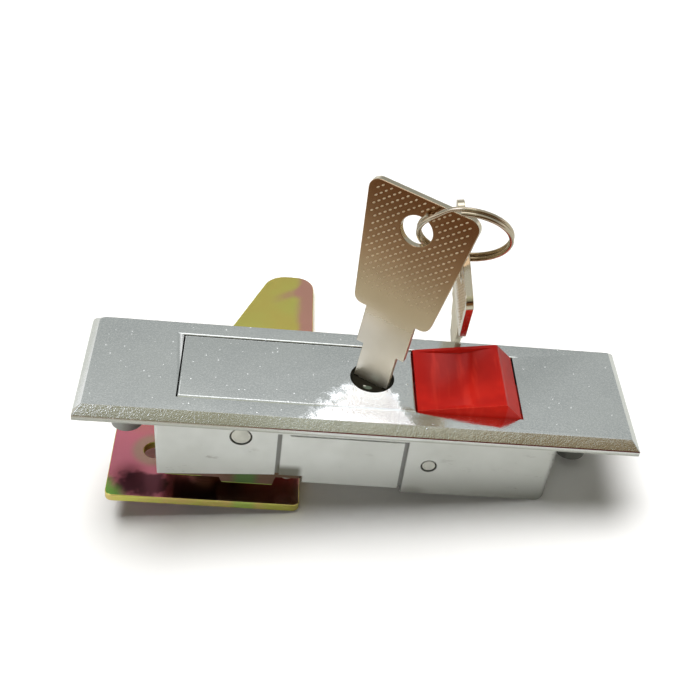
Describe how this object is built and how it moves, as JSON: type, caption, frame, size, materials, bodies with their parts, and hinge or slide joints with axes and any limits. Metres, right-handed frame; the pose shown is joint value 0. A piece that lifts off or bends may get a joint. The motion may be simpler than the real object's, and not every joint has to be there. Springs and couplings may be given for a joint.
{
  "type": "panel lock",
  "caption": "Flush panel lock with a lifting handle, red push button, keyed cylinder and a turning latch plate.",
  "frame": {"origin": "middle of the faceplate's seat, on the plane where its underside meets the panel", "axes": "+X along the faceplate from the latch end to the button end, +Y towards the latch's tongue as stored, +Z out of the front face"},
  "size_m": [0.15, 0.107, 0.1004],
  "materials": {
    "plated_casting": "satin chrome plate on a cast face",
    "red_plastic": "glossy",
    "yellow_steel": "yellow chromate over zinc",
    "bright_steel": "bright zinc",
    "spring_steel": "oiled",
    "brass": "turned",
    "nickel": "nickel plate"
  },
  "bodies": {
    "housing": {"body": "plated_casting", "cover_plate": "yellow_steel", "cover_screws": "bright_steel", "spindle_bush": "brass", "handle_pin": "bright_steel", "button_pin": "bright_steel", "handle_spring": "spring_steel", "button_spring": "spring_steel"},
    "handle_body": {"handle": "plated_casting", "lock_barrel": "brass", "barrel_clip": "spring_steel"},
    "button_body": {"button": "red_plastic", "catch_plate": "bright_steel", "catch_rivets": "bright_steel"},
    "plug_body": {"lock_plug": "nickel", "tumblers": "brass", "lock_cam": "bright_steel", "cam_screw": "bright_steel"},
    "key_body": {"key": "nickel"},
    "ring_body": {"key_ring": "nickel"},
    "spare_body": {"spare_key": "nickel"},
    "slide_body": {"drive_slide": "bright_steel"},
    "latch_body": {"latch_spindle": "yellow_steel", "drive_pin": "bright_steel", "spindle_clip": "spring_steel", "latch_plate": "yellow_steel", "latch_washer": "bright_steel"}
  },
  "joints": [
    {"name": "handle_lift", "type": "hinge", "parent": "housing", "child": "handle_body", "pos_m": [-0.0313, 0, -0.0063], "axis": [0, -1, 0], "range_deg": [0, 60], "deforming": ["handle_spring"]},
    {"name": "slide_travel", "type": "slide", "parent": "housing", "child": "slide_body", "axis": [1, 0, 0], "range_m": [0, 0.0116]},
    {"name": "latch_turn", "type": "hinge", "parent": "housing", "child": "latch_body", "pos_m": [-0.0408, 0, 0], "axis": [0, 0, -1], "range_deg": [0, 90]},
    {"name": "button_press", "type": "hinge", "parent": "housing", "child": "button_body", "pos_m": [0.0203, 0, -0.013], "axis": [0, 1, 0], "range_deg": [0, 7], "stiffness_Nm_per_rad": 0.4, "springref_deg": -14.32, "deforming": ["button_spring"]},
    {"name": "key_turn", "type": "hinge", "parent": "handle_body", "child": "plug_body", "pos_m": [0.0032, 0, 0.0038], "axis": [0.1045, 0, 0.9945], "range_deg": [0, 90]},
    {"name": "key_pull", "type": "slide", "parent": "plug_body", "child": "key_body", "axis": [0.1045, 0, 0.9945], "range_m": [0, 0.018]},
    {"name": "ring_swing", "type": "hinge", "parent": "key_body", "child": "ring_body", "pos_m": [0.00843, 0, 0.05353], "axis": [0, -1, 0], "range_deg": [0, 40]},
    {"name": "spare_swing", "type": "hinge", "parent": "ring_body", "child": "spare_body", "pos_m": [0.02041, 0.00287, 0.0446], "axis": [0.9921, -0.1253, 0], "range_deg": [0, 18]}
  ],
  "couplings": [
    {"joint": "slide_travel", "follows": "handle_lift", "m_per_rad": 0.011077},
    {"joint": "latch_turn", "follows": "handle_lift", "ratio": 1.5}
  ]
}
